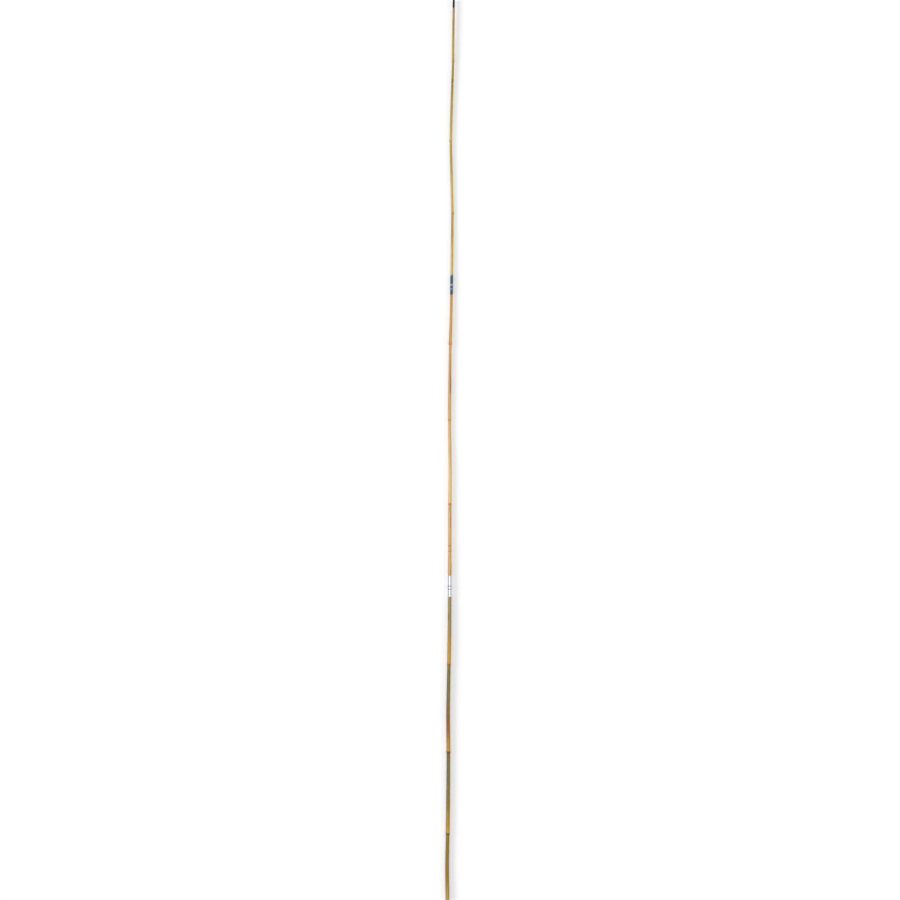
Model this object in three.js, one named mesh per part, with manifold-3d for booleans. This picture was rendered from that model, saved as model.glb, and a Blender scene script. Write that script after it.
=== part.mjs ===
// A bamboo pole: three culm sections joined end to end by two ferrules, with a cap on the thin end.
// Millimetres, +Z up. The pole lies on the floor, z = 0, along Y, with its thin end towards +Y.
import * as THREE from 'three';
import { mergeVertices } from 'three/addons/utils/BufferGeometryUtils.js';
import Module from 'manifold-3d';

const wasm = await Module();
wasm.setup();

// A station is a distance along the pole from its butt end.
const poleLength = 3000;
const sides = 16;
const fitGap = 0.3;

// A joint has a socket on the lower culm, with a welt round its mouth, and a collar on the upper culm.
// The upper culm's tenon goes through the collar and down into the socket, to the lower culm's end.
const ferruleWall = 0.7;
const welt = { width: 11, height: 0.25, edge: 0.8 };
const rim = { width: 2.6, height: 0.3, edge: 0.4 };
const lowerTenon = 12;
const lowerJoint = { from: 1011, mouth: 1048, to: 1082, diameter: 12.2 };
const upperJoint = { from: 2021, mouth: 2051, to: 2086, diameter: 9.2 };

const cap = { from: 2973, diameter: 6.8, wall: 0.6, end: 1.5, nose: 0.8 };

// An internode stands on a node at its foot diameter, and narrows to its neck under the next node.
const buttInternodes = [
  { from: 0, foot: 13.3, neck: 12.2 },
  { from: 221, foot: 13.6, neck: 12.0 },
  { from: 493, foot: 13.0, neck: 11.6, scar: 1.2, swelling: 0.9 },
  { from: 785, foot: 12.9, neck: 11.7 },
];
const middleInternodes = [
  { from: lowerJoint.to, foot: 11.7, neck: 10.5 },
  { from: 1322, foot: 11.2, neck: 9.5 },
  { from: 1600, foot: 10.6, neck: 8.7 },
  { from: 1852, foot: 9.7, neck: 8.0, scar: 1.2, swelling: 0.9 },
];
const tipInternodes = [
  { from: upperJoint.to, foot: 8.6, neck: 7.8 },
  { from: 2287, foot: 8.4, neck: 7.6, stub: 1 },
  { from: 2528, foot: 8.5, neck: 7.4, stub: -1 },
  { from: 2793, foot: 8.4, neck: 7.4, stub: 1 },
];

// A node has the scar of its fallen sheath, a groove, and a swelling that fades into the internode.
// The scar and the swelling stand further out at some nodes.
const node = { under: 9, lip: 1.6, scar: 0.7, groove: 1, ridge: 4.5, swelling: 0.3, over: 14 };
const internodeSteps = 6;

// A stub is what is left of a branch, cut close above its node on alternate sides of the culm.
const stub = { root: 2, cut: 1.5, length: 4.6, sunk: 2.1, lean: THREE.MathUtils.degToRad(30) };

const pith = { diameter: 3.6, depth: 30 };
const sawnEdge = 0.5;

// Where the centre line runs: station, distance to the side, height. The pole bends most at its nodes.
const bends = [
  [0, -8.4, 8.0],
  [110, -9.8, 7.2],
  [221, -7.8, 7.0],
  [360, -6.2, 7.4],
  [493, -5.4, 7.6],
  [620, -6.4, 8.2],
  [785, -3.6, 8.6],
  [900, -1.8, 8.4],
  [1046, -1.0, 8.0],
  [1322, -0.4, 7.0],
  [1420, 0.3, 6.5],
  [1600, -1.6, 5.55],
  [1740, -0.6, 6.3],
  [1852, 0.8, 6.8],
  [1950, 3.8, 6.6],
  [2053, 5.3, 6.2],
  [2180, 6.8, 5.3],
  [2291, 7.7, 4.45],
  [2420, 4.9, 5.1],
  [2531, 2.6, 5.5],
  [2660, 5.8, 6.0],
  [2785, 10.0, 6.8],
  [2890, 11.3, 7.8],
  [3000, 12.6, 8.9],
];
const centreLine = new THREE.CubicInterpolant(
  bends.map(([station]) => station),
  bends.flatMap(([, side, height]) => [side, height]),
  2,
);

// Turns a profile of [radius, station] points round the pole's axis, then bends it to the centre line.
function turned(profile) {
  const points = profile.map(([radius, station]) => new THREE.Vector2(radius, station));
  const geometry = new THREE.LatheGeometry(points, sides, Math.PI / sides);
  const position = geometry.attributes.position;
  for (let i = 0; i < position.count; i += 1) {
    const [side, height] = centreLine.evaluate(position.getY(i));
    position.setX(i, position.getX(i) + side);
    position.setZ(i, position.getZ(i) + height);
  }
  return geometry;
}

function nodeProfile({ from: station, foot, scar = node.scar, swelling = node.swelling }, neck) {
  return [
    [neck / 2, station - node.under],
    [neck / 2 + scar, station - node.lip],
    [neck / 2 + scar, station],
    [foot / 2, station + node.groove],
    [foot / 2 + swelling, station + node.ridge],
    [foot / 2, station + node.over],
  ];
}

// The outside of a culm from its first internode to the station where it ends or goes into a joint.
function culmSurface(internodes, end) {
  const surface = [];
  internodes.forEach((internode, i) => {
    const { from, foot, neck } = internode;
    const below = internodes[i - 1];
    const first = below ? from + node.over : from;
    const last = i + 1 < internodes.length ? internodes[i + 1].from - node.under : end;
    if (below) surface.push(...nodeProfile(internode, below.neck));
    for (let step = below ? 1 : 0; step < internodeSteps; step += 1) {
      const along = step / internodeSteps;
      const radius = THREE.MathUtils.lerp(foot, neck, along) / 2;
      surface.push([radius, THREE.MathUtils.lerp(first, last, along)]);
    }
  });
  surface.push([internodes.at(-1).neck / 2, end]);
  return surface;
}

const boreOf = (joint) => joint.diameter / 2 - ferruleWall;

function tenonUp(joint) {
  const radius = boreOf(joint) - fitGap;
  const tip = joint.from + lowerTenon;
  return [[radius, joint.from - fitGap], [radius, tip], [0, tip]];
}

function tenonDown(joint) {
  const radius = boreOf(joint) - fitGap;
  const tip = joint.from + lowerTenon + fitGap;
  return [[0, tip], [radius, tip], [radius, joint.to + fitGap]];
}

function buttProfile() {
  const rim = buttInternodes[0].foot / 2;
  const surface = culmSurface(buttInternodes, lowerJoint.from - fitGap).slice(1);
  return [
    [0, pith.depth],
    [pith.diameter / 2, pith.depth],
    [pith.diameter / 2, 0],
    [rim - sawnEdge, 0],
    [rim, sawnEdge],
    ...surface,
    ...tenonUp(lowerJoint),
  ];
}

function middleProfile() {
  const [first, ...others] = middleInternodes;
  const internodes = [{ ...first, from: lowerJoint.to + fitGap }, ...others];
  const surface = culmSurface(internodes, upperJoint.from - fitGap);
  return [...tenonDown(lowerJoint), ...surface, ...tenonUp(upperJoint)];
}

function tipProfile() {
  const [first, ...others] = tipInternodes;
  const internodes = [{ ...first, from: upperJoint.to + fitGap }, ...others];
  const surface = culmSurface(internodes, cap.from - fitGap);
  const radius = cap.diameter / 2 - cap.wall - fitGap;
  const end = poleLength - cap.end - fitGap;
  return [...tenonDown(upperJoint), ...surface, [radius, cap.from - fitGap], [radius, end], [0, end]];
}

function socketProfile(joint) {
  const outer = joint.diameter / 2;
  const bore = boreOf(joint);
  const mouth = joint.mouth - fitGap;
  return [
    [bore, joint.from],
    [outer, joint.from],
    [outer, mouth - welt.width],
    [outer + welt.height, mouth - welt.width + welt.edge],
    [outer + welt.height, mouth - welt.edge],
    [outer, mouth],
    [bore, mouth],
    [bore, joint.from],
  ];
}

function collarProfile(joint) {
  const outer = joint.diameter / 2;
  const bore = boreOf(joint);
  return [
    [bore, joint.mouth],
    [outer, joint.mouth],
    [outer, joint.to - rim.width],
    [outer + rim.height, joint.to - rim.width + rim.edge],
    [outer + rim.height, joint.to],
    [bore, joint.to],
    [bore, joint.mouth],
  ];
}

function capProfile() {
  const outer = cap.diameter / 2;
  const bore = outer - cap.wall;
  return [
    [0, poleLength - cap.end],
    [bore, poleLength - cap.end],
    [bore, cap.from],
    [outer, cap.from],
    [outer, poleLength - cap.nose],
    [outer - cap.nose, poleLength],
    [0, poleLength],
  ];
}

function stubGeometry({ from, foot, stub: towards }) {
  const [side, height] = centreLine.evaluate(from);
  const geometry = new THREE.CylinderGeometry(stub.cut, stub.root, stub.length, 8);
  geometry.translate(0, stub.length / 2, 0);
  geometry.rotateZ(-towards * stub.lean);
  geometry.translate(side + towards * (foot / 2 - stub.sunk), from + node.groove, height);
  return geometry;
}

function solidOf(geometry) {
  const bare = geometry.clone();
  bare.deleteAttribute('normal');
  bare.deleteAttribute('uv');
  const merged = mergeVertices(bare, 1e-4);
  return new wasm.Manifold(new wasm.Mesh({
    numProp: 3,
    vertProperties: merged.attributes.position.array,
    triVerts: new Uint32Array(merged.index.array),
  }));
}

function geometryOf(solid) {
  const { vertProperties, triVerts } = solid.getMesh();
  const geometry = new THREE.BufferGeometry();
  geometry.setAttribute('position', new THREE.BufferAttribute(vertProperties, 3));
  geometry.setIndex(new THREE.BufferAttribute(triVerts, 1));
  geometry.computeVertexNormals();
  return geometry;
}

function withStubs(culm, internodes) {
  let solid = solidOf(culm);
  for (const internode of internodes.filter((each) => each.stub)) {
    solid = solid.add(solidOf(stubGeometry(internode)));
  }
  return geometryOf(solid);
}

const group = new THREE.Group();

function add(name, geometry, color, roughness, metalness = 0) {
  const material = new THREE.MeshStandardMaterial({ color, roughness, metalness });
  const mesh = new THREE.Mesh(geometry, material);
  mesh.name = name;
  group.add(mesh);
}

add('butt_section', turned(buttProfile()), '#9a7c4b', 0.45);
add('middle_section', turned(middleProfile()), '#cfa26c', 0.45);
add('tip_section', withStubs(turned(tipProfile()), tipInternodes), '#bfa167', 0.45);
add('lower_joint_socket', turned(socketProfile(lowerJoint)), '#d6d6de', 0.35, 1);
add('lower_joint_collar', turned(collarProfile(lowerJoint)), '#d6d6de', 0.35, 1);
add('upper_joint_socket', turned(socketProfile(upperJoint)), '#4f6874', 0.4);
add('upper_joint_collar', turned(collarProfile(upperJoint)), '#4f6874', 0.4);
add('tip_cap', turned(capProfile()), '#15181f', 0.5);

// The origin is the middle of the pole's outline on the floor.
const outline = new THREE.Box3().setFromObject(group, true);
const middle = outline.getCenter(new THREE.Vector3());
group.position.set(-middle.x, -middle.y, -outline.min.z);
group.updateMatrixWorld(true);

export default group;
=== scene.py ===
import math

import bpy
import numpy as np
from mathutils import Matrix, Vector


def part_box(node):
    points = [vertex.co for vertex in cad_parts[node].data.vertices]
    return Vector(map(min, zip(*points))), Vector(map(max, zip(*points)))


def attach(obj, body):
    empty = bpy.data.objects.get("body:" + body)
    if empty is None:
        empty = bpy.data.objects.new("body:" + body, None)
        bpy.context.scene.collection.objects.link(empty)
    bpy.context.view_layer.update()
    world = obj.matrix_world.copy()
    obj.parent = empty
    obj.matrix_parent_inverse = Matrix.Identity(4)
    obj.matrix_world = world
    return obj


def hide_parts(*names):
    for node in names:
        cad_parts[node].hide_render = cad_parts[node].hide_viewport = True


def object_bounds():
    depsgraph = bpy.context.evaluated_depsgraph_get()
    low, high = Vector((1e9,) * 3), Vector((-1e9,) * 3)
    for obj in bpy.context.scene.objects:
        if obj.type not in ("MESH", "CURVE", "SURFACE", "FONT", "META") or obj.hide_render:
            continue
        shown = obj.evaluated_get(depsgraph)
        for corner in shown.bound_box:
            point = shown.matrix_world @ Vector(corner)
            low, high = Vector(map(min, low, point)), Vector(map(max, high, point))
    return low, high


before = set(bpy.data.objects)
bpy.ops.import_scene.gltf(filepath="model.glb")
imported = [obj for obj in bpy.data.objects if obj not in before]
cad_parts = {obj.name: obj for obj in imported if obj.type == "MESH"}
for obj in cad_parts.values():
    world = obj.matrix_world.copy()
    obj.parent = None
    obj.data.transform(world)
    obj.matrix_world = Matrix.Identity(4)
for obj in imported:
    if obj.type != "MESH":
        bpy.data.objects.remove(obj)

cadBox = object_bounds()
buttEnd = cadBox[0].y    # a station is a distance along the pole from here
mm = 0.001


# the centre line, read off the rings of corners in the frame's culms

def ringsOf(nodeName):
    byStation = {}
    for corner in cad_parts[nodeName].data.vertices:
        byStation.setdefault(round(corner.co.y - buttEnd, 5), []).append(corner.co)
    rings = []
    for station, corners in byStation.items():
        sides = [c.x for c in corners]
        heights = [c.z for c in corners]
        wide = max(sides) - min(sides)
        high = max(heights) - min(heights)
        whole = len(corners) >= 16 and abs(wide - high) < 0.1 * mm
        if whole:
            middle = (max(sides) + min(sides)) / 2
            height = (max(heights) + min(heights)) / 2
            rings.append((station, middle, height, wide / 2))
    return sorted(rings)


culmRings = {name: ringsOf(name) for name in ("butt_section", "middle_section", "tip_section")}
lineRings = np.array(sorted(ring for rings in culmRings.values() for ring in rings))
lineRings = lineRings[np.append(True, np.diff(lineRings[:, 0]) > 2 * mm)]
lineSlopes = np.gradient(lineRings[:, 1:3], lineRings[:, 0], axis=0)


def centreLine(stations):    # sideways place and height of the centre line, eased from ring to ring
    known = lineRings[:, 0]
    below = np.clip(np.searchsorted(known, stations) - 1, 0, len(known) - 2)
    gap = (known[below + 1] - known[below])[:, None]
    t = (stations - known[below])[:, None] / gap
    start = lineRings[below, 1:3]
    end = lineRings[below + 1, 1:3]
    rise = (2 * t**3 - 3 * t**2 + 1) * start + (3 * t**2 - 2 * t**3) * end
    lean = (t**3 - 2 * t**2 + t) * lineSlopes[below] + (t**3 - t**2) * lineSlopes[below + 1]
    return rise + lean * gap


def centreAt(station):
    side, height = centreLine(np.array([station]))[0]
    return Vector((side, buttEnd + station, height))


def frameRadius(nodeName, station):    # the culm's radius in the frame, to the flats of its rings
    rings = np.array(culmRings[nodeName])
    outside = rings[rings[:, 3] > 0.6 * rings[:, 3].max()]
    return float(np.interp(station, outside[:, 0], outside[:, 3]))


def stationSpan(nodeName):
    low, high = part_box(nodeName)
    return low.y - buttEnd, high.y - buttEnd


# modelling

def editOnly(piece):
    if bpy.context.mode != "OBJECT":
        bpy.ops.object.mode_set(mode="OBJECT")
    bpy.ops.object.select_all(action="DESELECT")
    piece.select_set(True)
    bpy.context.view_layer.objects.active = piece


def applyAll(piece):
    editOnly(piece)
    for modifier in list(piece.modifiers):
        bpy.ops.object.modifier_apply(modifier=modifier.name)


def startRing(name, point, sides, fill):
    if bpy.context.mode != "OBJECT":
        bpy.ops.object.mode_set(mode="OBJECT")
    bpy.ops.object.select_all(action="DESELECT")
    radius, station = point[:2]
    bpy.ops.mesh.primitive_circle_add(
        vertices=sides, radius=radius, fill_type=fill,
        location=centreAt(station), rotation=(math.pi / 2, 0, 0))
    piece = bpy.context.object
    piece.name = name
    bpy.ops.object.transform_apply(location=True, rotation=True, scale=True)
    bpy.ops.object.mode_set(mode="EDIT")
    bpy.ops.mesh.select_all(action="SELECT")
    return piece


def pullRings(profile):    # extrudes the selected ring through [radius, station, tilt] along the centre line
    radius, station = profile[0][:2]
    tilt = 0
    for nextRadius, nextStation, *nextTilt in profile[1:]:
        centre = centreAt(nextStation)
        step = centre - centreAt(station)
        bpy.ops.mesh.extrude_region_move(TRANSFORM_OT_translate={"value": step})
        grow = nextRadius / radius
        bpy.ops.transform.resize(value=(grow, 1, grow), center_override=centre)
        turn = (nextTilt[0] if nextTilt else 0) - tilt
        if turn:
            bpy.ops.transform.rotate(value=turn, orient_axis="Z", center_override=centre)
            tilt += turn
        radius, station = nextRadius, nextStation


def solidAlong(name, profile, sides):
    piece = startRing(name, profile[0], sides, "NGON")
    pullRings(profile)
    bpy.ops.mesh.select_all(action="SELECT")
    bpy.ops.mesh.normals_make_consistent(inside=False)
    bpy.ops.object.mode_set(mode="OBJECT")
    return piece


def tubeAlong(name, profile, sides):    # the profile goes once round the wall, and its ends are bridged
    piece = startRing(name, profile[0], sides, "NOTHING")
    pullRings(profile)
    bpy.ops.object.mode_set(mode="OBJECT")
    starts = {edge.index for edge in piece.data.edges}
    counts = {}
    for face in piece.data.polygons:
        for key in face.edge_keys:
            counts[key] = counts.get(key, 0) + 1
    for vertex in piece.data.vertices:
        vertex.select = False
    for edge in piece.data.edges:
        edge.select = counts.get(edge.key, 0) == 1 and edge.index in starts
    bpy.ops.object.mode_set(mode="EDIT")
    bpy.ops.mesh.select_mode(type="EDGE")
    bpy.ops.mesh.bridge_edge_loops()
    bpy.ops.mesh.select_mode(type="VERT")
    bpy.ops.mesh.select_all(action="SELECT")
    bpy.ops.mesh.normals_make_consistent(inside=False)
    bpy.ops.object.mode_set(mode="OBJECT")
    return piece


def smooth(piece, levels, angle):
    editOnly(piece)
    if levels:
        rounding = piece.modifiers.new("rounding", "SUBSURF")
        rounding.levels = levels
        rounding.render_levels = levels
    applyAll(piece)
    bpy.ops.object.shade_smooth_by_angle(angle=math.radians(angle))


# shader nodes

class Feed:    # a socket that can be used in sums
    def __init__(self, paint, socket):
        self.paint = paint
        self.socket = socket

    def __add__(self, other):
        return self.paint.maths("ADD", self, other)

    def __radd__(self, other):
        return self.paint.maths("ADD", other, self)

    def __sub__(self, other):
        return self.paint.maths("SUBTRACT", self, other)

    def __rsub__(self, other):
        return self.paint.maths("SUBTRACT", other, self)

    def __mul__(self, other):
        return self.paint.maths("MULTIPLY", self, other)

    def __rmul__(self, other):
        return self.paint.maths("MULTIPLY", other, self)

    def __abs__(self):
        return self.paint.maths("ABSOLUTE", self)


class Paint:    # a material and the nodes that make it
    def __init__(self, name):
        self.material = bpy.data.materials.new(name)
        self.material.use_nodes = True
        self.tree = self.material.node_tree
        self.tree.nodes.clear()

    def node(self, kind, settings, inputs, output=0):
        made = self.tree.nodes.new(kind)
        for key, value in settings.items():
            if key == "stops":
                fillRamp(made.color_ramp, value)
            else:
                setattr(made, key, value)
        for key, value in inputs.items():
            if isinstance(value, Feed):
                self.tree.links.new(value.socket, made.inputs[key])
            else:
                made.inputs[key].default_value = value
        return Feed(self, made.outputs[output]) if made.outputs else made

    def maths(self, operation, *values):
        return self.node("ShaderNodeMath", {"operation": operation}, dict(enumerate(values)))

    def larger(self, a, b):
        return self.maths("MAXIMUM", a, b)

    def fade(self, value, low, high):    # 0 below low, 1 above high, smooth between
        ends = {"From Min": low, "From Max": high, "Value": value}
        return self.node("ShaderNodeMapRange", {"interpolation_type": "SMOOTHSTEP"}, ends)

    def band(self, value, centre, half, soft):    # 1 within half of the centre, 0 beyond half + soft
        return 1 - self.fade(abs(value - centre), half, half + soft)

    def blend(self, mask, low, high, how="MIX"):    # colours
        settings = {"data_type": "RGBA", "blend_type": how}
        return self.node("ShaderNodeMix", settings, {0: mask, 6: low, 7: high}, output=2)

    def stretch(self, vector, scale):
        return self.node("ShaderNodeVectorMath", {"operation": "MULTIPLY"}, {0: vector, 1: scale})

    def noise(self, vector, detail=3.0, roughness=0.5):    # about 0.5, one wave for each unit of the vector
        inputs = {"Vector": vector, "Scale": 1.0, "Detail": detail, "Roughness": roughness}
        return self.node("ShaderNodeTexNoise", {}, inputs)

    def finish(self, color, roughness, bump=None, depth=0.0, **constants):
        inputs = {"Base Color": color, "Roughness": roughness}
        if bump is not None:
            relief = {"Strength": 1.0, "Distance": depth, "Height": bump}
            inputs["Normal"] = self.node("ShaderNodeBump", {}, relief)
        for key, value in constants.items():
            inputs[key.replace("_", " ")] = value
        shader = self.node("ShaderNodeBsdfPrincipled", {}, inputs)
        self.node("ShaderNodeOutputMaterial", {}, {"Surface": shader})
        return self.material


def hexColour(text):
    channels = [int(text[i:i + 2], 16) / 255 for i in (1, 3, 5)]
    linear = [c / 12.92 if c <= 0.04045 else ((c + 0.055) / 1.055) ** 2.4 for c in channels]
    return (*linear, 1.0)


def fillRamp(ramp, stops):
    while len(ramp.elements) < len(stops):
        ramp.elements.new(1.0)
    for element, (position, colour) in zip(ramp.elements, stops):
        element.position = position
        element.color = colour


# camera, lights and floor

studio = {
    "frameHeight": 3.0015,    # the height of floor that the view covers
    "aside": 0.1 * mm,
    "lens": 100,
    "sensor": 36,
    "floorHalf": 30.0,
    "floorTone": "#f9f9f9",
    "skyTone": "#fdfdff",
    "skyStrength": 0.50,
    "lamps": [    # name, turn from straight down towards +X, strength, width in degrees, mirrored
        ("topLamp", 0, 1.0, 34, True),
        ("leftLamp", 65, 1.65, 22, False),
        ("rightLamp", -62, 0.4, 25, False),
    ],
}


def makeStage():
    distance = studio["frameHeight"] * studio["lens"] / studio["sensor"]
    bpy.ops.object.camera_add(location=(studio["aside"], 0, distance), rotation=(0, 0, 0))
    camera = bpy.context.object
    camera.name = "camera"
    camera.data.lens = studio["lens"]
    camera.data.sensor_width = studio["sensor"]
    camera.data.clip_end = 100
    bpy.context.scene.camera = camera

    bpy.ops.mesh.primitive_plane_add(size=2 * studio["floorHalf"], location=(0, 0, 0))
    floor = bpy.context.object
    floor.name = "floor"
    paint = Paint("floorPaper")
    floor.data.materials.append(paint.finish(hexColour(studio["floorTone"]), 0.9))

    world = bpy.data.worlds.new("studioWorld")
    bpy.context.scene.world = world
    world.use_nodes = True
    sky = world.node_tree.nodes["Background"]
    sky.inputs["Color"].default_value = hexColour(studio["skyTone"])
    sky.inputs["Strength"].default_value = studio["skyStrength"]

    for name, turn, strength, width, mirrored in studio["lamps"]:
        bpy.ops.object.light_add(type="SUN", location=(0, 0, 4), rotation=(0, -math.radians(turn), 0))
        lamp = bpy.context.object
        lamp.name = name
        lamp.data.energy = strength
        lamp.data.angle = math.radians(width)
        lamp.visible_glossy = mirrored

    bpy.context.scene.view_settings.view_transform = "Standard"
    bpy.context.scene.view_settings.look = "None"


makeStage()
print("stage set")


# culms

nodeRings = [    # how a node swells: distance from the node, height over the culm, share of the foot
    (-12.0, 0.00, 0.0), (-6.0, 0.04, 0.0), (-3.4, 0.14, 0.0), (-2.3, 0.32, 0.0),
    (-1.6, 0.58, 0.0), (-1.2, 0.70, 0.0), (-0.9, 0.68, 0.0), (-0.6, 0.36, 0.1),
    (-0.2, 0.08, 0.3), (0.5, 0.02, 0.6), (1.6, 0.10, 0.9), (3.0, 0.24, 1.0),
    (4.6, 0.29, 1.0), (7.0, 0.18, 1.0), (10.0, 0.06, 1.0), (14.0, 0.00, 1.0),
]
tiltedRings = (-2.4, 2.0)    # the rings between these lie across the culm at the node's tilt
neckBelow, footAbove = 9 * mm, 14 * mm    # where the culm is plain again, under a node and over it
ridgeLength = 10    # how far the swelling over a node runs up, in the rings' own unit
ringGap = 24 * mm

# A culm's bare skin spans from one joint to the next. Each internode names four colours of the skin,
# from its own node up to the next one. Marks are stains and thin rings at given stations.
buttCulm = {
    "name": "buttCulm",
    "node": "butt_section",
    "slot": "butt_culm",
    "seed": 3,
    "dashes": 0.30,
    "dashTone": "#6a5220",
    "gleam": "#c49a38",
    "nodes": [
        {"at": 0.221, "scar": 1.0, "tilt": 4, "left": "#5e380f", "right": "#6a4216", "reach": 3 * mm,
         "stain": "#6a4a1a", "below": 6 * mm, "bloom": "#8a7a4c"},
        {"at": 0.493, "scar": 1.7, "ridge": 0.45, "tilt": -3, "left": "#74421c", "right": "#7c4820",
         "reach": 5 * mm, "stain": "#6e4c26", "below": 16 * mm, "bloom": "#8c7450"},
        {"at": 0.785, "scar": 0.9, "tilt": 3, "left": "#8a4e1c", "right": "#96551f", "reach": 3 * mm,
         "stain": "#7c5430", "below": 4 * mm, "bloom": "#88805e"},
    ],
    "span": (0, 1.011),
    "skin": {
        "gold": "#c49838", "straw": "#b89650", "ochre": "#987020", "rust": "#905c00",
        "bronze": "#907418", "olive": "#7a6c3c", "khaki": "#9c8c60",
    },
    "internodes": [
        ("straw", "ochre", "ochre", "bronze"),
        ("gold", "bronze", "olive", "olive"),
        ("gold", "rust", "olive", "olive"),
        ("gold", "straw", "khaki", "khaki"),
    ],
    "marks": [
        {"at": 0.572, "half": 24 * mm, "soft": 14 * mm, "colour": "#8c5208", "strength": 0.5, "side": 0},
        {"at": 0.100, "half": 10 * mm, "soft": 30 * mm, "colour": "#96691c", "strength": 0.35, "side": 0},
        {"at": 0.945, "half": 6 * mm, "soft": 8 * mm, "colour": "#6e5220", "strength": 0.5, "side": -1},
    ],
    "stubs": [],
}
middleCulm = {
    "name": "middleCulm",
    "node": "middle_section",
    "slot": "middle_culm",
    "seed": 11,
    "dashes": 0.30,
    "dashTone": "#b87a34",
    "gleam": "#f0dcae",
    "nodes": [
        {"at": 1.322, "scar": 0.9, "tilt": -2, "left": "#dd8c1c", "right": "#e49222", "reach": 2.5 * mm,
         "line": "#b26c24", "stain": "#a86e2c", "below": 9 * mm, "bloom": "#cfa468"},
        {"at": 1.600, "scar": 0.9, "tilt": 4, "left": "#96622e", "right": "#d08a3c", "middle": "#cf9a4c",
         "line": "#a8703a", "stain": "#c09058", "below": 4 * mm},
        {"at": 1.852, "scar": 1.7, "ridge": 0.45, "tilt": -3, "left": "#b0563a", "right": "#ac4f30",
         "middle": "#e2a02c", "line": "#c07a42", "stain": "#cc9450", "below": 6 * mm},
    ],
    "span": (1.082, 2.021),
    "skin": {
        "straw": "#e4c68c", "honey": "#d8b478", "tan": "#c8a064",
        "amber": "#c89c44", "copper": "#bc8a2c",
    },
    "internodes": [
        ("tan", "honey", "honey", "tan"),
        ("straw", "straw", "honey", "honey"),
        ("honey", "tan", "tan", "amber"),
        ("amber", "amber", "amber", "copper"),
    ],
    "marks": [
        {"at": 1.720, "half": 20 * mm, "soft": 16 * mm, "colour": "#80501f", "strength": 0.55, "side": 1},
        {"at": 1.258, "half": 14 * mm, "soft": 10 * mm, "colour": "#c2703a", "strength": 0.5, "side": 1},
        {"at": 1.181, "half": 0.7 * mm, "soft": 0.9 * mm, "colour": "#6e4a2e", "strength": 0.75, "side": 0},
        {"at": 2.019, "half": 1.5 * mm, "soft": 2 * mm, "colour": "#4a3826", "strength": 0.6, "side": 0},
        {"at": 1.163, "half": 0.7 * mm, "soft": 0.9 * mm, "colour": "#7a5435", "strength": 0.65, "side": 0},
    ],
    "stubs": [],
}
tipCulm = {
    "name": "tipCulm",
    "node": "tip_section",
    "slot": "tip_culm",
    "seed": 23,
    "dashes": 0.22,
    "dashTone": "#8c7228",
    "gleam": "#dfca82",
    "nodes": [
        {"at": 2.287, "scar": 0.7, "tilt": -6, "left": "#b0924c", "right": "#9a6a36", "line": "#94793a",
         "strength": 0.5},
        {"at": 2.528, "scar": 0.7, "tilt": 6, "left": "#a8924c", "right": "#a58e48", "line": "#8c7c3c",
         "strength": 0.4},
        {"at": 2.793, "scar": 0.7, "tilt": -6, "left": "#a08c46", "right": "#97864a", "line": "#86763a",
         "strength": 0.4},
    ],
    "span": (2.086, 2.973),
    "skin": {"straw": "#ccb05c", "reed": "#b89c40", "moss": "#a48c28"},
    "internodes": [
        ("straw", "straw", "reed", "reed"),
        ("straw", "straw", "reed", "reed"),
        ("straw", "reed", "moss", "moss"),
        ("reed", "reed", "moss", "moss"),
    ],
    "marks": [
        {"at": 2.289, "half": 5 * mm, "soft": 4 * mm, "colour": "#a8582c", "strength": 0.85, "side": 1,
         "facing": (0.25, 0.75)},
        {"at": 2.730, "half": 5 * mm, "soft": 2.5 * mm, "colour": "#855116", "strength": 0.75, "side": 0},
        {"at": 2.711, "half": 1.1 * mm, "soft": 1.4 * mm, "colour": "#6e4a18", "strength": 0.8, "side": 0},
        {"at": 2.427, "half": 0.6 * mm, "soft": 1.2 * mm, "colour": "#8f6b36", "strength": 0.5, "side": 0},
        {"at": 2.234, "half": 0.6 * mm, "soft": 1.2 * mm, "colour": "#936c38", "strength": 0.5, "side": 0},
        {"at": 2.147, "half": 0.6 * mm, "soft": 1.2 * mm, "colour": "#936c38", "strength": 0.5, "side": 0},
    ],
    "stubs": [
        {"at": 2.287, "towards": 1, "bud": True, "colour": "#8a4424"},
        {"at": 2.528, "towards": -1, "bud": False, "colour": "#b7ad80"},
        {"at": 2.793, "towards": 1, "bud": False, "colour": "#b0a67c"},
    ],
}

cutEnd = {"pithRadius": 1.7 * mm, "pithDepth": 30 * mm, "bevel": 0.5 * mm}
stub = {"root": 1.9 * mm, "cut": 1.45 * mm, "length": 4.5 * mm, "sunk": 2.1 * mm, "lean": math.radians(30)}


def plainRadius(culm, station):    # the culm's radius with no node on it
    near = min(culm["nodes"], key=lambda each: abs(each["at"] - station))
    first, last = near["at"] + nodeRings[0][0] * mm, near["at"] + footAbove
    neck = frameRadius(culm["node"], near["at"] - neckBelow)
    foot = frameRadius(culm["node"], last)
    if first < station < last:
        return neck if station < near["at"] else foot
    return frameRadius(culm["node"], station)


def nodePoints(culm, node):
    neck = frameRadius(culm["node"], node["at"] - neckBelow)
    foot = frameRadius(culm["node"], node["at"] + footAbove)
    points = []
    for distance, height, share in nodeRings:
        height *= node["scar"]
        if distance > 0:
            height += node.get("ridge", 0) * math.sin(math.pi * min(distance / ridgeLength, 1)) ** 0.7
        radius = neck + (foot - neck) * share + height * mm
        tilted = tiltedRings[0] < distance < tiltedRings[1]
        tilt = math.radians(node["tilt"]) if tilted else 0
        points.append((radius, node["at"] + distance * mm, tilt))
    return points


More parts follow.
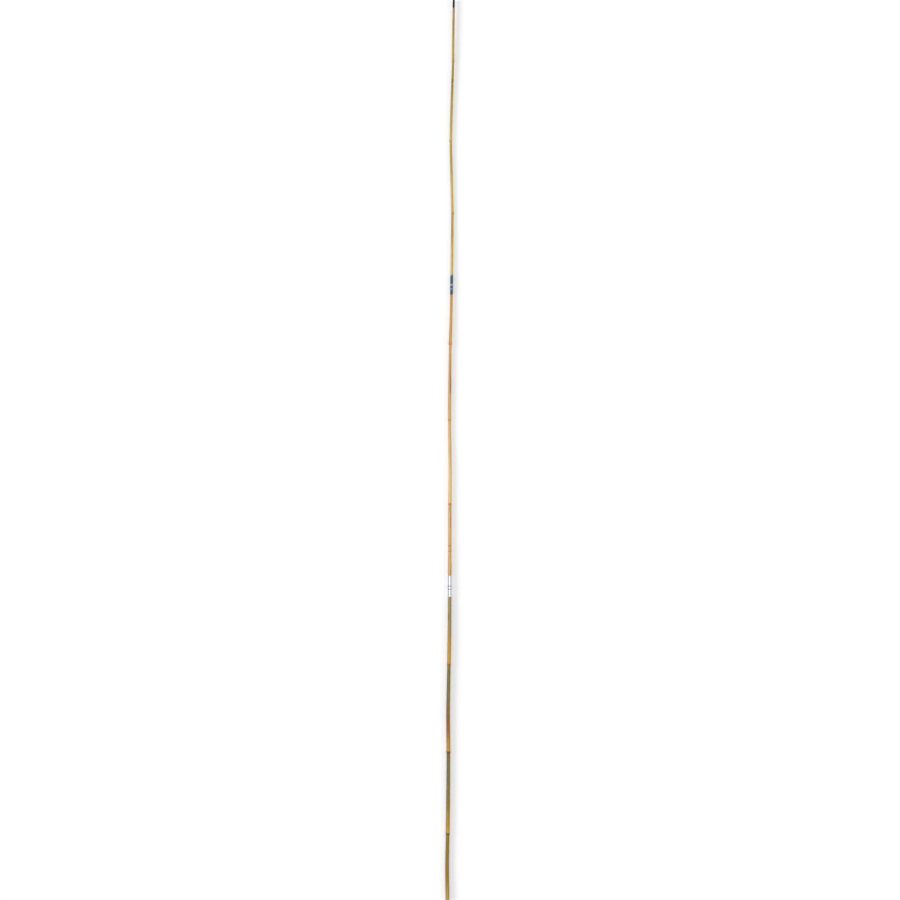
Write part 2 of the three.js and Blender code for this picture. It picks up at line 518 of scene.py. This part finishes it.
def skinPoints(culm, start, end):
    points = []
    station = start
    for node in culm["nodes"] + [None]:
        stop = node["at"] + nodeRings[0][0] * mm if node else end
        count = max(1, round((stop - station) / ringGap))
        for i in range(count):
            here = station + (stop - station) * i / count
            points.append((frameRadius(culm["node"], here), here))
        if node:
            points += nodePoints(culm, node)[:-1]
            station = node["at"] + nodeRings[-1][0] * mm
    points.append((frameRadius(culm["node"], end), end))
    return points


tenonShare = 0.8    # a tenon's radius against the culm's


def lowerTenon(culm, shoulder):    # the end that goes down into a joint
    start = stationSpan(culm["node"])[0]
    rim = frameRadius(culm["node"], shoulder)
    core = tenonShare * rim
    return [(0.6 * core, start), (core, start + 0.2 * mm), (core, shoulder - 0.1 * mm),
            (rim - 0.3 * mm, shoulder), (rim - 0.05 * mm, shoulder + 0.15 * mm)]


def upperTenon(culm, shoulder):
    end = stationSpan(culm["node"])[1]
    rim = frameRadius(culm["node"], shoulder)
    core = tenonShare * rim
    return [(rim - 0.05 * mm, shoulder - 0.15 * mm), (rim - 0.3 * mm, shoulder),
            (core, shoulder + 0.1 * mm), (core, end - 0.2 * mm), (0.6 * core, end)]


def sawnEnd(culm):
    rim = frameRadius(culm["node"], 0.001)
    pith = cutEnd["pithRadius"]
    bevel = cutEnd["bevel"]
    return [
        (0.6 * pith, cutEnd["pithDepth"]), (0.95 * pith, cutEnd["pithDepth"] - 1 * mm),
        (pith, 0.6 * cutEnd["pithDepth"]), (pith, 1.5 * mm), (1.03 * pith, 0.3 * mm),
        (1.12 * pith, 0.02 * mm), (1.5 * pith, 0.0), (rim - 2.2 * bevel, 0.0), (rim - 1.1 * bevel, 0.02 * mm),
        (rim - 0.45 * bevel, 0.25 * bevel), (rim - 0.1 * bevel, 0.9 * bevel), (rim, 2 * bevel),
    ]


def culmProfile(culm):
    joints = {"butt_section": (None, "lower_joint_socket"),
              "middle_section": ("lower_joint_collar", "upper_joint_socket"),
              "tip_section": ("upper_joint_collar", "tip_cap")}
    under, over = joints[culm["node"]]
    top = stationSpan(over)[0] - 0.3 * mm
    if under:
        bottom = stationSpan(under)[1] + 0.3 * mm
        first = lowerTenon(culm, bottom)
    else:
        bottom = 0.0
        first = sawnEnd(culm)
    skin = skinPoints(culm, bottom + 2 * mm, top - 2 * mm)
    return first + skin + upperTenon(culm, top)


def unevenness(piece, name, size, height, group=None):
    pattern = bpy.data.textures.new(name, "CLOUDS")
    pattern.noise_scale = size
    pattern.noise_depth = 2
    modifier = piece.modifiers.new(name, "DISPLACE")
    modifier.texture = pattern
    modifier.texture_coords = "LOCAL"
    modifier.strength = height
    modifier.mid_level = 0.5
    if group:
        modifier.vertex_group = group


def straightened(piece):    # each corner's place if the pole were straight: side, station, height
    places = np.empty(len(piece.data.vertices) * 3)
    piece.data.vertices.foreach_get("co", places)
    places = places.reshape(-1, 3)
    places[:, 1] -= buttEnd
    places[:, (0, 2)] -= centreLine(places[:, 1])
    return places


def keepStraight(piece):    # saved on the mesh for the skin's pattern
    places = straightened(piece)
    layer = piece.data.attributes.new("straight", "FLOAT_VECTOR", "POINT")
    layer.data.foreach_set("vector", places.ravel())


def proudOf(culm, places):    # how far each corner stands over the plain culm
    stations = np.linspace(places[:, 1].min(), places[:, 1].max(), 1500)
    plain = np.array([plainRadius(culm, station) for station in stations])
    return np.hypot(places[:, 0], places[:, 2]) - np.interp(places[:, 1], stations, plain)


furrow = {"first": 5 * mm, "last": 95 * mm, "halfAngle": 0.1, "depth": 0.35 * mm, "spread": 1.6 * mm}


def pressGroove(culm, piece, node, side):    # the shallow furrow that runs up the culm over a branch
    editOnly(piece)
    places = straightened(piece)
    angle = np.arctan2(places[:, 2], places[:, 0] * side)
    over = places[:, 1] - node
    inside = (np.abs(angle) < furrow["halfAngle"]) & (over > furrow["first"]) & (over < furrow["last"])
    piece.data.vertices.foreach_set("select", inside)
    piece.data.edges.foreach_set("select", [False] * len(piece.data.edges))
    piece.data.polygons.foreach_set("select", [False] * len(piece.data.polygons))
    bpy.ops.object.mode_set(mode="EDIT")
    bpy.ops.transform.translate(
        value=(-side * furrow["depth"], 0, 0), use_proportional_edit=True,
        proportional_edit_falloff="SMOOTH", proportional_size=furrow["spread"])
    bpy.ops.object.mode_set(mode="OBJECT")


def makeStub(culm, each):
    name = f"{culm['name']}Stub"
    base = centreAt(each["at"] + 1 * mm)
    foot = frameRadius(culm["node"], each["at"] + footAbove)
    root = base + Vector((each["towards"] * (foot - stub["sunk"]), 0, 0))
    heading = Vector((each["towards"] * math.sin(stub["lean"]), math.cos(stub["lean"]), 0))
    length = stub["length"]
    bpy.ops.object.select_all(action="DESELECT")
    bpy.ops.mesh.primitive_circle_add(
        vertices=20, radius=1.25 * stub["root"], fill_type="NGON", location=root,
        rotation=heading.to_track_quat("Z", "X").to_euler())
    piece = bpy.context.object
    piece.name = name
    bpy.ops.object.transform_apply(location=True, rotation=True, scale=True)
    bpy.ops.object.mode_set(mode="EDIT")
    bpy.ops.mesh.select_all(action="SELECT")
    cut, full = stub["cut"], stub["root"]
    shapes = {
        True: [(1.2 * full, 0.25), (0.92 * full, 0.42), (0.86 * full, 0.5), (0.95 * full, 0.55),
               (0.8 * full, 0.72), (0.5 * full, 0.9), (0.2 * full, 0.99), (0.05 * full, 1.0)],
        False: [(1.2 * full, 0.25), (0.95 * full, 0.42), (0.84 * full, 0.6), (1.05 * cut, 0.8),
                (cut, 0.95), (0.97 * cut, 0.985), (0.88 * cut, 1.0), (0.5 * cut, 1.0),
                (0.32 * cut, 0.985), (0.26 * cut, 0.9), (0.12 * cut, 0.89)],
    }
    radius = 1.25 * full
    along = 0.0
    for nextRadius, nextAlong in shapes[each["bud"]]:
        centre = root + heading * (nextAlong * length)
        step = heading * ((nextAlong - along) * length)
        bpy.ops.mesh.extrude_region_move(TRANSFORM_OT_translate={"value": step})
        grow = nextRadius / radius
        bpy.ops.transform.resize(value=(grow, grow, grow), center_override=centre)
        radius, along = nextRadius, nextAlong
    bpy.ops.mesh.select_all(action="SELECT")
    bpy.ops.mesh.normals_make_consistent(inside=False)
    bpy.ops.object.mode_set(mode="OBJECT")
    smooth(piece, 1, 50)
    return piece


def uniteStubs(culm, piece):
    for each in culm["stubs"]:
        branch = makeStub(culm, each)
        editOnly(piece)
        union = piece.modifiers.new("union", "BOOLEAN")
        union.operation = "UNION"
        union.solver = "EXACT"
        union.object = branch
        applyAll(piece)
        bpy.data.objects.remove(branch, do_unlink=True)


def makeCulm(culm):
    piece = solidAlong(culm["name"], culmProfile(culm), 32)
    for each in culm["stubs"]:
        pressGroove(culm, piece, each["at"], each["towards"])
    editOnly(piece)
    places = straightened(piece)
    lips = piece.vertex_groups.new(name="lips")
    proud = proudOf(culm, places)
    lips.add([int(i) for i in np.flatnonzero(proud > 0.45 * mm)], 1.0, "REPLACE")
    rounding = piece.modifiers.new("rounding", "SUBSURF")
    rounding.levels = 2
    rounding.render_levels = 2
    unevenness(piece, "swelling", 22 * mm, 0.25 * mm)
    unevenness(piece, "tornLip", 1.6 * mm, 0.45 * mm, "lips")
    applyAll(piece)
    uniteStubs(culm, piece)
    editOnly(piece)
    bpy.ops.object.shade_smooth_by_angle(angle=math.radians(50))
    keepStraight(piece)
    print(culm["name"], len(piece.data.polygons), "faces")
    return piece


strips = {"count": 5, "width": 0.9, "side": 0.025, "end": 0.03}


def layOut(culm, piece):    # the map for baking: the skin in strips, the rest in a column beside them
    places = straightened(piece)
    mesh = piece.data
    mesh.uv_layers.new(name="OFBake")
    corners = np.empty(len(mesh.loops), int)
    starts = np.empty(len(mesh.polygons), int)
    counts = np.empty(len(mesh.polygons), int)
    mesh.loops.foreach_get("vertex_index", corners)
    mesh.polygons.foreach_get("loop_start", starts)
    mesh.polygons.foreach_get("loop_total", counts)
    face = np.repeat(np.arange(len(counts)), counts)
    middles = np.add.reduceat(places[corners], starts) / counts[:, None]

    proud = proudOf(culm, middles)
    inner = proud < -0.07 * frameRadius(culm["node"], culm["nodes"][0]["at"])
    for each in culm["stubs"]:
        over = middles[:, 1] - each["at"]
        facing = middles[:, 0] * each["towards"] > np.abs(middles[:, 2])
        inner |= (proud > 0.55 * mm) & facing & (over > 0) & (over < 12 * mm)
    editOnly(piece)
    mesh.polygons.foreach_set("select", inner)
    bpy.ops.object.mode_set(mode="EDIT")
    bpy.ops.mesh.select_mode(type="FACE")
    bpy.ops.uv.smart_project(angle_limit=math.radians(60), island_margin=0.02)
    bpy.ops.mesh.select_mode(type="VERT")
    bpy.ops.object.mode_set(mode="OBJECT")

    layer = mesh.uv_layers["OFBake"]
    spread = np.empty(len(mesh.loops) * 2)
    layer.uv.foreach_get("vector", spread)
    spread = spread.reshape(-1, 2)
    count, width, side, end = strips.values()
    spread[:, 0] = width + (1 - width) * (side + (1 - 2 * side) * spread[:, 0])
    low, high = places[:, 1].min(), places[:, 1].max()
    along = (places[corners, 1] - low) / (high - low) * count
    strip = np.clip(np.floor((middles[:, 1] - low) / (high - low) * count), 0, count - 1)[face]
    turn = np.arctan2(places[corners, 0], places[corners, 2]) / (2 * math.pi) + 0.5
    faceTurn = (np.arctan2(middles[:, 0], middles[:, 2]) / (2 * math.pi) + 0.5)[face]
    turn += np.round(faceTurn - turn)
    skin = ~inner[face]
    spread[skin, 0] = ((strip + side + (1 - 2 * side) * turn) / count * width)[skin]
    spread[skin, 1] = (end + (1 - 2 * end) * (along - strip))[skin]
    layer.uv.foreach_set("vector", spread.ravel())
    print(culm["name"], "faces off the skin", int(inner.sum()))


sawnWood = {"pale": "#cfae78", "bundle": "#7a4f2a", "edge": "#8a6a3c"}


def paintSawnWood():
    paint = Paint("sawnWood")
    place = paint.node("ShaderNodeTexCoord", {}, {}, "Object")
    cells = paint.node("ShaderNodeTexVoronoi", {}, {"Vector": place, "Scale": 2600.0}, "Distance")
    grain = paint.noise(paint.stretch(place, (900, 60, 900)))
    bundles = 1 - paint.fade(cells, 0.16, 0.34)
    worn = paint.fade(grain, 0.3, 0.6) * 0.6 + 0.4
    color = paint.blend(worn, hexColour(sawnWood["edge"]), hexColour(sawnWood["pale"]))
    color = paint.blend(bundles * 0.7, color, hexColour(sawnWood["bundle"]))
    return paint.finish(color, 0.75 + grain * 0.1, grain - bundles * 0.5, 0.1 * mm)


skinPatterns = {    # how closely each repeats across the culm and along it, per metre
    "fibres": (2200, 22),
    "streaks": (620, 7),
    "clouds": (90, 16),
    "ragged": (420, 160),
    "pores": (2900, 420),
    "dashes": (330, 26),
    "specks": (380, 130),
}
skinTints = {
    "streak": "#8a6a3a",
    "fibre": "#8a6c40",
    "pore": "#6a4c26",
    # painted shade for the culm's left flank, the side towards the left lamp
    "paintedLeftShade": "#c9bda6",
    "speck": "#5a3a1c",
    "bloom": "#b3aa8a",
    "line": "#3d2413",
}


def skinTones(culm):    # the skin's colours along the culm, evenly spaced between each pair of nodes
    clear = 6 * mm
    ends = [culm["span"][0], *(each["at"] for each in culm["nodes"]), culm["span"][1]]
    tones = []
    for start, stop, names in zip(ends, ends[1:], culm["internodes"]):
        step = (stop - start - 2 * clear) / (len(names) - 1)
        tones += [(start + clear + i * step, hexColour(culm["skin"][name])) for i, name in enumerate(names)]
    return tones


def paintCulm(culm):
    paint = Paint(f"{culm['name']}Skin")
    straight = paint.node("ShaderNodeAttribute", {"attribute_name": "straight"}, {}, "Vector")
    split = paint.node("ShaderNodeSeparateXYZ", {}, {"Vector": straight}).socket.node
    side, station, height = (Feed(paint, split.outputs[axis]) for axis in "XYZ")
    radius = plainRadius(culm, culm["nodes"][1]["at"] + 0.1)
    shift = paint.node("ShaderNodeVectorMath", {"operation": "ADD"}, {0: straight, 1: (culm["seed"], 0, 0)})
    tints = {name: hexColour(tint) for name, tint in skinTints.items()}
    gleam = hexColour(culm["gleam"])

    def pattern(name):
        across, along = skinPatterns[name]
        return paint.stretch(shift, (across, along, across))

    fibres = paint.noise(pattern("fibres"), 2.0)
    streaks = paint.noise(pattern("streaks"), 3.0)
    clouds = paint.noise(pattern("clouds"), 4.0, 0.6)
    ragged = paint.noise(pattern("ragged"), 3.0)
    wander = station + (ragged - 0.5) * (2.2 * mm) + (clouds - 0.5) * (16 * mm)

    tones = skinTones(culm)
    first, last = tones[0][0], tones[-1][0]
    stops = [((at - first) / (last - first), tone) for at, tone in tones]
    nearNodes = 0
    for each in culm["nodes"]:
        nearNodes = paint.larger(nearNodes, paint.band(station, each["at"], 4 * mm, 30 * mm))
    graded = station * nearNodes + wander * (1 - nearNodes)
    along = (graded - first) * (1 / (last - first))
    color = paint.node("ShaderNodeValToRGB", {"stops": stops}, {"Fac": along})

    color = paint.blend(paint.fade(streaks, 0.42, 0.72) * 0.30, color, tints["streak"], "MULTIPLY")
    color = paint.blend(paint.fade(streaks, 0.40, 0.22) * 0.18, color, gleam)
    color = paint.blend(paint.fade(fibres, 0.44, 0.66) * 0.26, color, tints["fibre"], "MULTIPLY")
    color = paint.blend(paint.fade(fibres, 0.42, 0.26) * 0.12, color, gleam)
    pores = paint.noise(pattern("pores"), 1.0)
    color = paint.blend(paint.fade(pores, 0.63, 0.72) * 0.35, color, tints["pore"])

    # painted shade: the left flank of the skin is multiplied darker, against the light of the left lamp
    paintedLeftShade = paint.fade(side, -0.45 * radius, -0.95 * radius)
    color = paint.blend(paintedLeftShade * 0.5, color, tints["paintedLeftShade"], "MULTIPLY")
    dashes = paint.noise(pattern("dashes"), 2.0)
    color = paint.blend(paint.fade(dashes, 0.52, 0.68) * culm["dashes"], color, hexColour(culm["dashTone"]))
    color = paint.blend(paint.fade(dashes, 0.44, 0.30) * culm["dashes"] * 0.6, color, gleam)

    for mark in culm["marks"]:
        mask = paint.band(station + (ragged - 0.5) * min(mark["soft"], 3 * mm),
                          mark["at"], mark["half"], mark["soft"])
        if mark["side"]:
            start, full = mark.get("facing", (-0.3, 0.5))
            mask = mask * paint.fade(side * mark["side"], start * radius, full * radius)
        color = paint.blend(mask * mark["strength"] * (0.75 + clouds * 0.5), color, hexColour(mark["colour"]))

    cells = {"Vector": pattern("specks"), "Scale": 1.0}
    specks = paint.node("ShaderNodeTexVoronoi", {}, cells, "Distance")
    spots = (1 - paint.fade(specks, 0.05, 0.13)) * paint.fade(clouds, 0.48, 0.62)
    color = paint.blend(spots * 0.55, color, tints["speck"])

    worn = 0
    for each in culm["nodes"]:
        tilted = station - side * math.tan(math.radians(each["tilt"])) - each["at"]
        near = tilted + (ragged - 0.5) * (1.2 * mm)
        under = paint.fade(near, -1.2 * mm, -2 * mm)
        bloom = paint.fade(tilted + (streaks - 0.5) * (9 * mm), -14 * mm, -3 * mm) * under
        dusty = hexColour(each.get("bloom", skinTints["bloom"]))
        color = paint.blend(bloom * (0.05 + clouds * 0.4), color, dusty)
        if "stain" in each:
            down = paint.fade(near + (streaks - 0.5) * each["below"], -each["below"], -2 * mm) * under
            color = paint.blend(down * 0.8, color, hexColour(each["stain"]))
        reach = each.get("reach", 5 * mm)
        above = 1 - paint.fade(near + (streaks - 0.5) * (1.6 * reach), 0.35 * reach, reach)
        ring = above * paint.fade(near, -1.5 * mm, -0.7 * mm)
        tint = paint.blend(paint.fade(side, -0.5 * radius, 0.5 * radius),
                           hexColour(each["left"]), hexColour(each["right"]))
        if "middle" in each:
            centre = paint.fade(abs(side), 0.65 * radius, 0.25 * radius)
            tint = paint.blend(centre, tint, hexColour(each["middle"]))
        color = paint.blend(ring * each.get("strength", 0.9), color, tint)
        lip = paint.band(near, each.get("lip", -1.5) * mm, 0.35 * mm, 0.5 * mm)
        color = paint.blend(lip * 0.8, color, hexColour(each.get("line", skinTints["line"])))
        worn = paint.larger(worn, ring * 0.6 + lip)

    for each in culm["stubs"]:
        out = paint.fade(side * each["towards"], 1.04 * radius, 1.16 * radius)
        mask = out * paint.band(station, each["at"] + 4 * mm, 3 * mm, 2 * mm)
        color = paint.blend(mask * 0.85, color, hexColour(each["colour"]))

    roughness = 0.22 + streaks * 0.14 + fibres * 0.08 + worn * 0.22
    relief = fibres * 0.7 + streaks * 0.4 + worn * ragged * 1.6
    return paint.finish(color, roughness, relief, 0.09 * mm, Specular_IOR_Level=0.4)


def markCutFaces(culm, piece):    # the sawn end of the butt shows bare wood
    places = straightened(piece)
    piece.data.materials.clear()
    piece.data.materials.append(paintCulm(culm))
    piece.data.materials.append(sawnMaterial)
    rim = frameRadius("butt_section", 0.001)
    for face in piece.data.polygons:
        spot = places[list(face.vertices)].mean(axis=0)
        inside = math.hypot(spot[0], spot[2]) < rim - 0.8 * cutEnd["bevel"]
        face.material_index = int(culm is buttCulm and inside and spot[1] < 31 * mm)


sawnMaterial = paintSawnWood()
culmPieces = {}
for culm in (buttCulm, middleCulm, tipCulm):
    piece = makeCulm(culm)
    markCutFaces(culm, piece)
    layOut(culm, piece)
    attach(piece, "root")
    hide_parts(culm["node"])
    culmPieces[culm["node"]] = piece
print("culms made")


# ferrules

ferrule = {"wall": 0.7 * mm, "welt": 11 * mm, "proud": 0.25 * mm, "rim": 2.6 * mm, "rimProud": 0.3 * mm}
ferruleTones = {    # rings: distance over the joint line, half width, soft edge, strength
    "pale_ferrule": {
        "body": "#e6e6ec", "shade": "#dadae2", "bare": "#8a8a9e",
        "metallic": 1.0, "gloss": 0.5, "roughness": 0.29,
        "rings": [(-1.2, 1.5, 1.0, 0.85), (-11.2, 1.4, 1.0, 0.75), (-27.5, 1.4, 1.6, 0.4), (25, 9, 4, 0.1)],
        "seam": 0.0,
    },
    "blue_ferrule": {
        "body": "#3a5060", "shade": "#324552", "bare": "#a3b2bb",
        "metallic": 0.0, "gloss": 0.3, "roughness": 0.34,
        "rings": [(-0.4, 1.7, 1.2, 1.0), (-13.5, 1.3, 1.2, 0.6), (33.4, 1.8, 1.4, 0.85)],
        "seam": 0.95,
    },
}


def socketProfile(node):
    foot, mouth = stationSpan(node)
    low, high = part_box(node)
    welt = (high.z - low.z) / 2
    outer = welt - ferrule["proud"]
    bore = outer - ferrule["wall"]
    weltFoot = mouth - ferrule["welt"]
    return [
        (bore, foot + 0.15 * mm), (bore + 0.15 * mm, foot), (outer - 0.2 * mm, foot),
        (outer - 0.05 * mm, foot + 0.06 * mm), (outer, foot + 0.25 * mm), (outer, foot + 2 * mm),
        (outer, weltFoot - 1.5 * mm), (outer, weltFoot - 0.1 * mm),
        (outer + 0.12 * mm, weltFoot + 0.15 * mm), (welt - 0.03 * mm, weltFoot + 0.45 * mm),
        (welt, weltFoot + 0.9 * mm), (welt, mouth - 0.9 * mm), (welt - 0.03 * mm, mouth - 0.5 * mm),
        (outer + 0.1 * mm, mouth - 0.12 * mm), (outer, mouth),
        (bore + 0.12 * mm, mouth), (bore, mouth - 0.12 * mm),
    ]


def collarProfile(node):
    foot, top = stationSpan(node)
    low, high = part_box(node)
    rim = (high.z - low.z) / 2
    outer = rim - ferrule["rimProud"]
    bore = outer - ferrule["wall"]
    rimFoot = top - ferrule["rim"]
    return [
        (bore, foot + 0.12 * mm), (bore + 0.12 * mm, foot), (outer - 0.2 * mm, foot),
        (outer - 0.04 * mm, foot + 0.08 * mm), (outer, foot + 0.3 * mm), (outer, foot + 2 * mm),
        (outer, rimFoot - 1 * mm), (outer, rimFoot), (rim - 0.06 * mm, rimFoot + 0.25 * mm),
        (rim, rimFoot + 0.6 * mm), (rim, top - 0.6 * mm), (rim - 0.08 * mm, top - 0.2 * mm),
        (rim - 0.3 * mm, top), (bore + 0.15 * mm, top), (bore, top - 0.15 * mm),
    ]


def paintFerrule(slotName, jointName):
    tones = ferruleTones[slotName]
    foot, mouth = stationSpan(f"{jointName}_socket")
    paint = Paint(f"{slotName.split('_')[0]}Ferrule")
    place = paint.node("ShaderNodeTexCoord", {}, {}, "Object")
    split = paint.node("ShaderNodeSeparateXYZ", {}, {"Vector": place}).socket.node
    station = Feed(paint, split.outputs["Y"]) - buttEnd
    smudge = paint.noise(paint.stretch(place, (140, 60, 140)), 4.0, 0.6)
    scuff = paint.noise(paint.stretch(place, (260, 2600, 260)), 2.0)
    scratches = paint.fade(scuff, 0.62, 0.78) * paint.fade(smudge, 0.4, 0.6)
    near = station + (smudge - 0.5) * (1.2 * mm)
    bare = 0
    for over, half, soft, strength in tones["rings"]:
        ring = paint.band(near, mouth + over * mm, half * mm, soft * mm)
        bare = paint.larger(bare, ring * strength)
    turned = paint.maths("SINE", station * (2 * math.pi / (0.55 * mm))) * 0.5 + 0.5
    lathed = bare * turned
    seam = paint.band(near, foot + 0.8 * mm, 1.2 * mm, 1.2 * mm) * tones["seam"]
    color = paint.blend(paint.fade(smudge, 0.45, 0.75), hexColour(tones["body"]), hexColour(tones["shade"]))
    color = paint.blend(scratches * 0.3, color, hexColour(tones["bare"]))
    color = paint.blend(bare * (turned * 0.3 + 0.8), color, hexColour(tones["bare"]))
    color = paint.blend(seam, color, hexColour("#0c0f11"))
    roughness = tones["roughness"] + smudge * 0.12 + bare * 0.08
    return paint.finish(color, roughness, scuff * 0.3 + smudge * 0.3 + lathed * 1.5, 0.03 * mm,
                        Metallic=tones["metallic"], Specular_IOR_Level=tones["gloss"])


for jointName, slotName in (("lower_joint", "pale_ferrule"), ("upper_joint", "blue_ferrule")):
    material = paintFerrule(slotName, jointName)
    for part, profileOf in (("socket", socketProfile), ("collar", collarProfile)):
        node = f"{jointName}_{part}"
        side = jointName.split("_")[0]
        piece = tubeAlong(f"{side}Joint{part.title()}", profileOf(node), 64)
        smooth(piece, 0, 40)
        piece.data.materials.append(material)
        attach(piece, "root")
        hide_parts(node)
print("ferrules made")


# cap on the thin end

capShape = {"wall": 0.6 * mm, "nose": 1.4 * mm, "lip": 1.2 * mm, "depth": 25.5 * mm}


def capProfile():
    foot, top = stationSpan("tip_cap")
    low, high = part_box("tip_cap")
    outer = (high.z - low.z) / 2
    bore = outer - capShape["wall"]
    waist = outer - 0.12 * mm
    nose = capShape["nose"]
    arc = []
    for i in range(7):
        turn = math.pi / 2 * i / 6
        arc.append((waist - nose + nose * math.cos(turn), top - nose + nose * math.sin(turn)))
    return [
        (0.3 * bore, foot + capShape["depth"]), (0.9 * bore, foot + capShape["depth"]),
        (bore, foot + 24 * mm),
        (bore, foot + 0.2 * mm), (bore + 0.1 * mm, foot), (outer - 0.15 * mm, foot), (outer, foot + 0.2 * mm),
        (outer, foot + capShape["lip"]), (waist, foot + capShape["lip"] + 0.25 * mm), (waist, foot + 6 * mm),
        *arc, (0.5 * (waist - nose), top),
    ]


def paintCap():
    paint = Paint("darkCap")
    place = paint.node("ShaderNodeTexCoord", {}, {}, "Object")
    grain = paint.noise(paint.stretch(place, (1500, 1500, 1500)), 3.0)
    dust = paint.noise(paint.stretch(place, (220, 90, 220)), 4.0, 0.6)
    color = paint.blend(paint.fade(dust, 0.45, 0.75) * 0.6, hexColour("#05070c"), hexColour("#11151c"))
    return paint.finish(color, 0.42 + dust * 0.16, grain, 0.04 * mm, Specular_IOR_Level=0.2)


tipCap = solidAlong("tipCap", capProfile(), 64)
smooth(tipCap, 0, 40)
tipCap.data.materials.append(paintCap())
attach(tipCap, "root")
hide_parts("tip_cap")
print("cap made")
